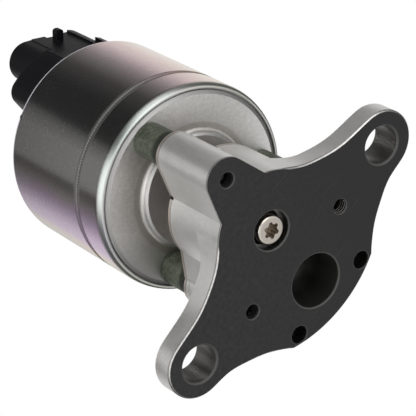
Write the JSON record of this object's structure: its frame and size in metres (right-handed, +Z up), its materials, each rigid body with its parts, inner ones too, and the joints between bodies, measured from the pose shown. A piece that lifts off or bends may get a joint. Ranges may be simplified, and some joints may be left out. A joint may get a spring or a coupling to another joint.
{
  "type": "egr valve",
  "caption": "Solenoid-lifted poppet valve on an eared flange, with a can held off the valve body by spacers and a sensor cap with a plug socket.",
  "frame": {"origin": "on the gasket face, at the centre of the inlet bore that the pintle closes", "axes": "+Z up along the valve and can axis, away from the gasket face; +Y from the front screw lobe towards the exhaust port; +X along the line between the ear holes"},
  "size_m": [0.0936, 0.0653, 0.107],
  "materials": {
    "cast_base": "satin casting with a dark coated gasket face",
    "seat_steel": "turned",
    "pintle_steel": "polished stainless",
    "stem_steel": "ground",
    "bush_bronze": "sintered",
    "shield_steel": "pressed",
    "seal_rubber": "matte",
    "spacer_steel": "dark olive passivated",
    "screw_steel": "plated",
    "can_plating": "smoky plated steel",
    "plate_steel": "satin",
    "pole_steel": "machined",
    "bobbin_plastic": "moulded",
    "coil_copper": "enamelled wire",
    "spring_steel": "drawn wire",
    "cap_plastic": "moulded black",
    "terminal_tin": "tinned",
    "sensor_ceramic": "ceramic",
    "sensor_plastic": "moulded"
  },
  "bodies": {
    "housing": {"base_casting": "cast_base", "valve_seat": "seat_steel", "stem_bush": "bush_bronze", "stem_shield": "shield_steel", "shaft_seal": "seal_rubber", "seal_retainer": "shield_steel", "spacer_a": "spacer_steel", "spacer_b": "spacer_steel", "spacer_c": "spacer_steel", "mounting_screws": "screw_steel", "solenoid_can": "can_plating", "end_plate": "plate_steel", "lower_pole": "pole_steel", "armature_sleeve": "shield_steel", "upper_pole": "pole_steel", "bobbin": "bobbin_plastic", "coil_winding": "coil_copper", "coil_lead_a": "terminal_tin", "coil_lead_b": "terminal_tin", "return_spring": "spring_steel", "sensor_cap": "cap_plastic", "cap_seal": "seal_rubber", "terminal_1": "terminal_tin", "terminal_2": "terminal_tin", "terminal_3": "terminal_tin", "terminal_4": "terminal_tin", "terminal_5": "terminal_tin", "sensor_board": "sensor_ceramic", "sensor_leads": "terminal_tin", "sensor_spring": "spring_steel"},
    "valve_train": {"pintle": "pintle_steel", "stem": "stem_steel", "armature": "pole_steel"},
    "sensor_slider": {"sensor_plunger": "sensor_plastic", "sensor_wiper": "sensor_plastic"}
  },
  "joints": [
    {"name": "valve_lift", "type": "slide", "parent": "housing", "child": "valve_train", "axis": [0, 0, 1], "range_m": [0, 0.0045], "stiffness_N_per_m": 2500, "springref_m": -0.006, "deforming": ["return_spring"]},
    {"name": "sensor_slide", "type": "slide", "parent": "housing", "child": "sensor_slider", "axis": [0, 0, 1], "range_m": [0, 0.0045], "stiffness_N_per_m": 150, "springref_m": -0.004, "deforming": ["sensor_spring"]}
  ],
  "couplings": [
    {"joint": "sensor_slide", "follows": "valve_lift", "ratio": 1}
  ]
}
